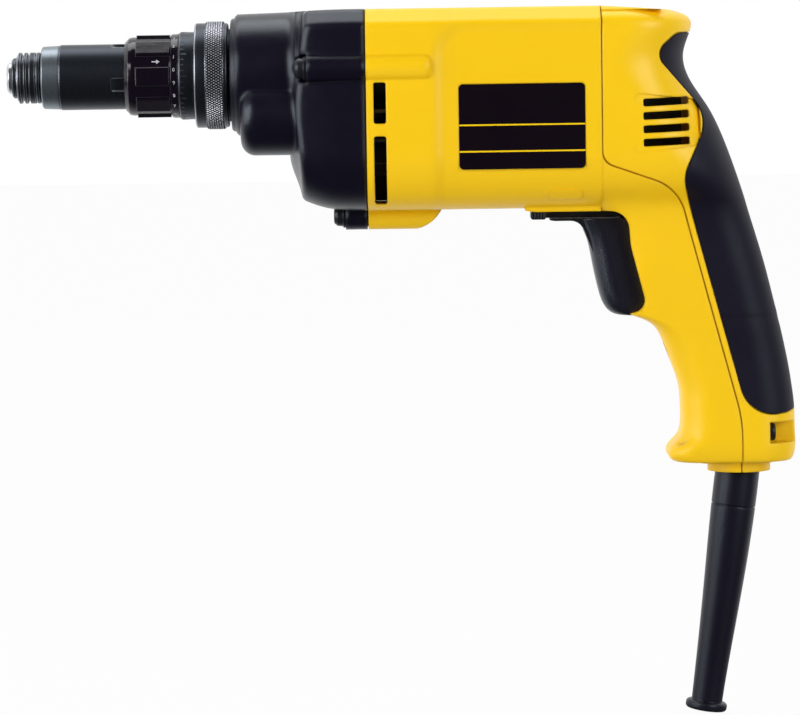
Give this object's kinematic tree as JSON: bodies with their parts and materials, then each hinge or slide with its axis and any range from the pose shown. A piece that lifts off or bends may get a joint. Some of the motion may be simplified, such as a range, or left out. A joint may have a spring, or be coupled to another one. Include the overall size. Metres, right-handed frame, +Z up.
{
  "type": "corded electric screwdriver",
  "caption": "Pistol-grip corded electric screwdriver with a depth adjusting nose, clutch and gear train, field motor, trigger, reverse lever and bending cord guard",
  "frame": {"origin": "mouth of the bit socket, on the spindle axis", "axes": "+X runs back along the spindle from the bit socket to the rear cover, +Z is up, the left side of the tool is at -Y"},
  "size_m": [0.3205, 0.075, 0.2916],
  "materials": {
    "bright_steel": "ground and polished",
    "black_steel": "black oxide",
    "black_gloss": "gloss",
    "spring_steel": "drawn wire",
    "gear_steel": "hardened",
    "bronze": "sintered",
    "case_black": "satin black paint on a casting",
    "screw_black": "black oxide",
    "cast_aluminium": "as cast",
    "fan_plastic": "moulded",
    "core_steel": "stacked sheet",
    "copper": "varnished wire",
    "carbon": "pressed carbon",
    "brass": "pressed sheet",
    "yellow_shell": "moulded, fine satin texture",
    "grip_rubber": "matte, fine grain",
    "label_black": "printed film",
    "trigger_plastic": "stippled",
    "switch_plastic": "moulded",
    "guard_rubber": "satin"
  },
  "bodies": {
    "housing": {"gear_case": "case_black", "gear_case_screws": "screw_black", "bearing_plate": "cast_aluminium", "front_bearing": "bright_steel", "rear_bearing": "bright_steel", "air_baffle": "fan_plastic", "stator_core": "core_steel", "field_coils": "copper", "carbon_brushes": "carbon", "brush_holders": "brass", "brush_springs": "spring_steel", "end_bracket": "fan_plastic", "motor_housing": "yellow_shell", "rear_cover": "yellow_shell", "rear_grip": "grip_rubber", "side_labels": "label_black", "cover_screws": "screw_black", "switch_body": "switch_plastic", "trigger_spring": "spring_steel", "cord_guard": "guard_rubber", "graduated_ring": "black_steel", "collar_retaining_ring": "spring_steel", "spindle_rear_bush": "bronze", "intermediate_front_bush": "bronze", "intermediate_rear_bush": "bronze"},
    "armature": {"armature_shaft": "bright_steel", "cooling_fan": "fan_plastic", "armature_core": "core_steel", "armature_windings": "copper", "commutator": "copper"},
    "intermediate": {"intermediate_shaft": "gear_steel", "intermediate_gear": "gear_steel"},
    "spindle": {"output_spindle": "bright_steel", "sleeve_washer": "black_steel", "clutch_plate": "gear_steel", "clutch_balls": "bright_steel", "spindle_gear": "gear_steel", "sleeve_spring": "spring_steel", "clutch_spring": "spring_steel"},
    "bit_sleeve": {"bit_sleeve": "black_steel"},
    "bit_ball": {"bit_ball": "bright_steel"},
    "collar": {"adjusting_collar": "black_gloss"},
    "nose": {"nose_sleeve": "black_steel", "nose_bush": "bronze"},
    "lock_ring": {"lock_ring": "black_steel"},
    "trigger": {"trigger": "trigger_plastic"},
    "reverse_lever": {"reverse_lever": "trigger_plastic"}
  },
  "joints": [
    {"name": "armature_spin", "type": "hinge", "parent": "housing", "child": "armature", "pos_m": [0.19, 0, -0.015], "axis": [1, 0, 0], "continuous": true},
    {"name": "intermediate_spin", "type": "hinge", "parent": "housing", "child": "intermediate", "pos_m": [0.115, -0.01419, -0.01746], "axis": [1, 0, 0], "continuous": true},
    {"name": "spindle_spin", "type": "hinge", "parent": "housing", "child": "spindle", "pos_m": [0, 0, 0], "axis": [1, 0, 0], "continuous": true},
    {"name": "sleeve_slide", "type": "slide", "parent": "spindle", "child": "bit_sleeve", "axis": [-1, 0, 0], "range_m": [0, 0.0025], "stiffness_N_per_m": 1500, "springref_m": -0.004, "deforming": ["sleeve_spring"]},
    {"name": "ball_slide", "type": "slide", "parent": "spindle", "child": "bit_ball", "axis": [0, 0, 1], "range_m": [0, 0.0005]},
    {"name": "collar_turn", "type": "hinge", "parent": "housing", "child": "collar", "pos_m": [0.06, 0, 0], "axis": [1, 0, 0], "range_deg": [0, 300]},
    {"name": "nose_sleeve_slide", "type": "slide", "parent": "collar", "child": "nose", "axis": [1, 0, 0], "range_m": [0, 0.0042], "deforming": ["clutch_spring"]},
    {"name": "lock_ring_turn", "type": "hinge", "parent": "housing", "child": "lock_ring", "pos_m": [0.083, 0, 0], "axis": [1, 0, 0], "range_deg": [0, 40]},
    {"name": "trigger_slide", "type": "slide", "parent": "housing", "child": "trigger", "axis": [1, 0, 0], "range_m": [0, 0.0065], "stiffness_N_per_m": 900, "springref_m": -0.006, "deforming": ["trigger_spring"]},
    {"name": "lever_swing", "type": "hinge", "parent": "housing", "child": "reverse_lever", "pos_m": [0.274, 0, -0.059], "axis": [0, 0, 1], "range_deg": [-8, 8]}
  ],
  "couplings": [
    {"joint": "intermediate_spin", "follows": "armature_spin", "ratio": -0.28571},
    {"joint": "spindle_spin", "follows": "armature_spin", "ratio": 0.081633},
    {"joint": "ball_slide", "follows": "sleeve_slide", "ratio": 0.2},
    {"joint": "nose_sleeve_slide", "follows": "collar_turn", "m_per_rad": 0.00079577}
  ]
}
